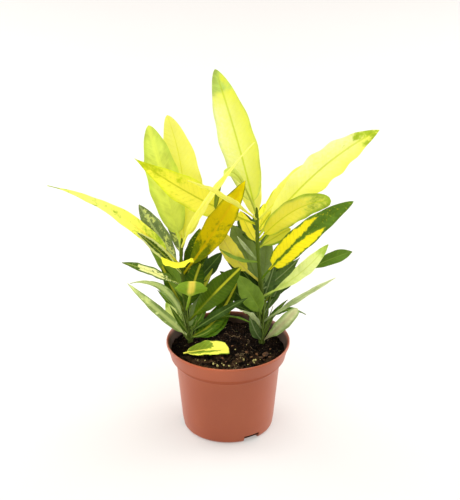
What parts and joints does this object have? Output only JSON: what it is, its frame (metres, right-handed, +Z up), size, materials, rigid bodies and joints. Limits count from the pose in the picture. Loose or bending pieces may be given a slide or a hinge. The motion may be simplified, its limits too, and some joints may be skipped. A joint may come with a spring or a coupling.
{
  "type": "potted croton",
  "caption": "Narrow-leaved golden croton with green and yellow variegated leaves, planted in soil in a round plastic nursery pot.",
  "frame": {"origin": "middle of the pot's underside", "axes": "+Z up, -Y towards the viewer of the picture, +X to the picture's right"},
  "size_m": [0.3106, 0.1703, 0.3552],
  "materials": {
    "pot": "satin terracotta-coloured plastic",
    "soil": "damp crumbly peat with pale bits",
    "green_leaf": "leathery green leaf, half gloss",
    "golden_leaf": "leathery yellow leaf with green marks, half gloss",
    "fading_leaf": "shed yellow and green leaf"
  },
  "bodies": {
    "root": {"pot": "pot", "soil": "soil", "left_green_growth": "green_leaf", "left_golden_growth": "golden_leaf", "right_green_growth": "green_leaf", "right_golden_growth": "golden_leaf", "shed_leaf": "fading_leaf"}
  },
  "joints": []
}
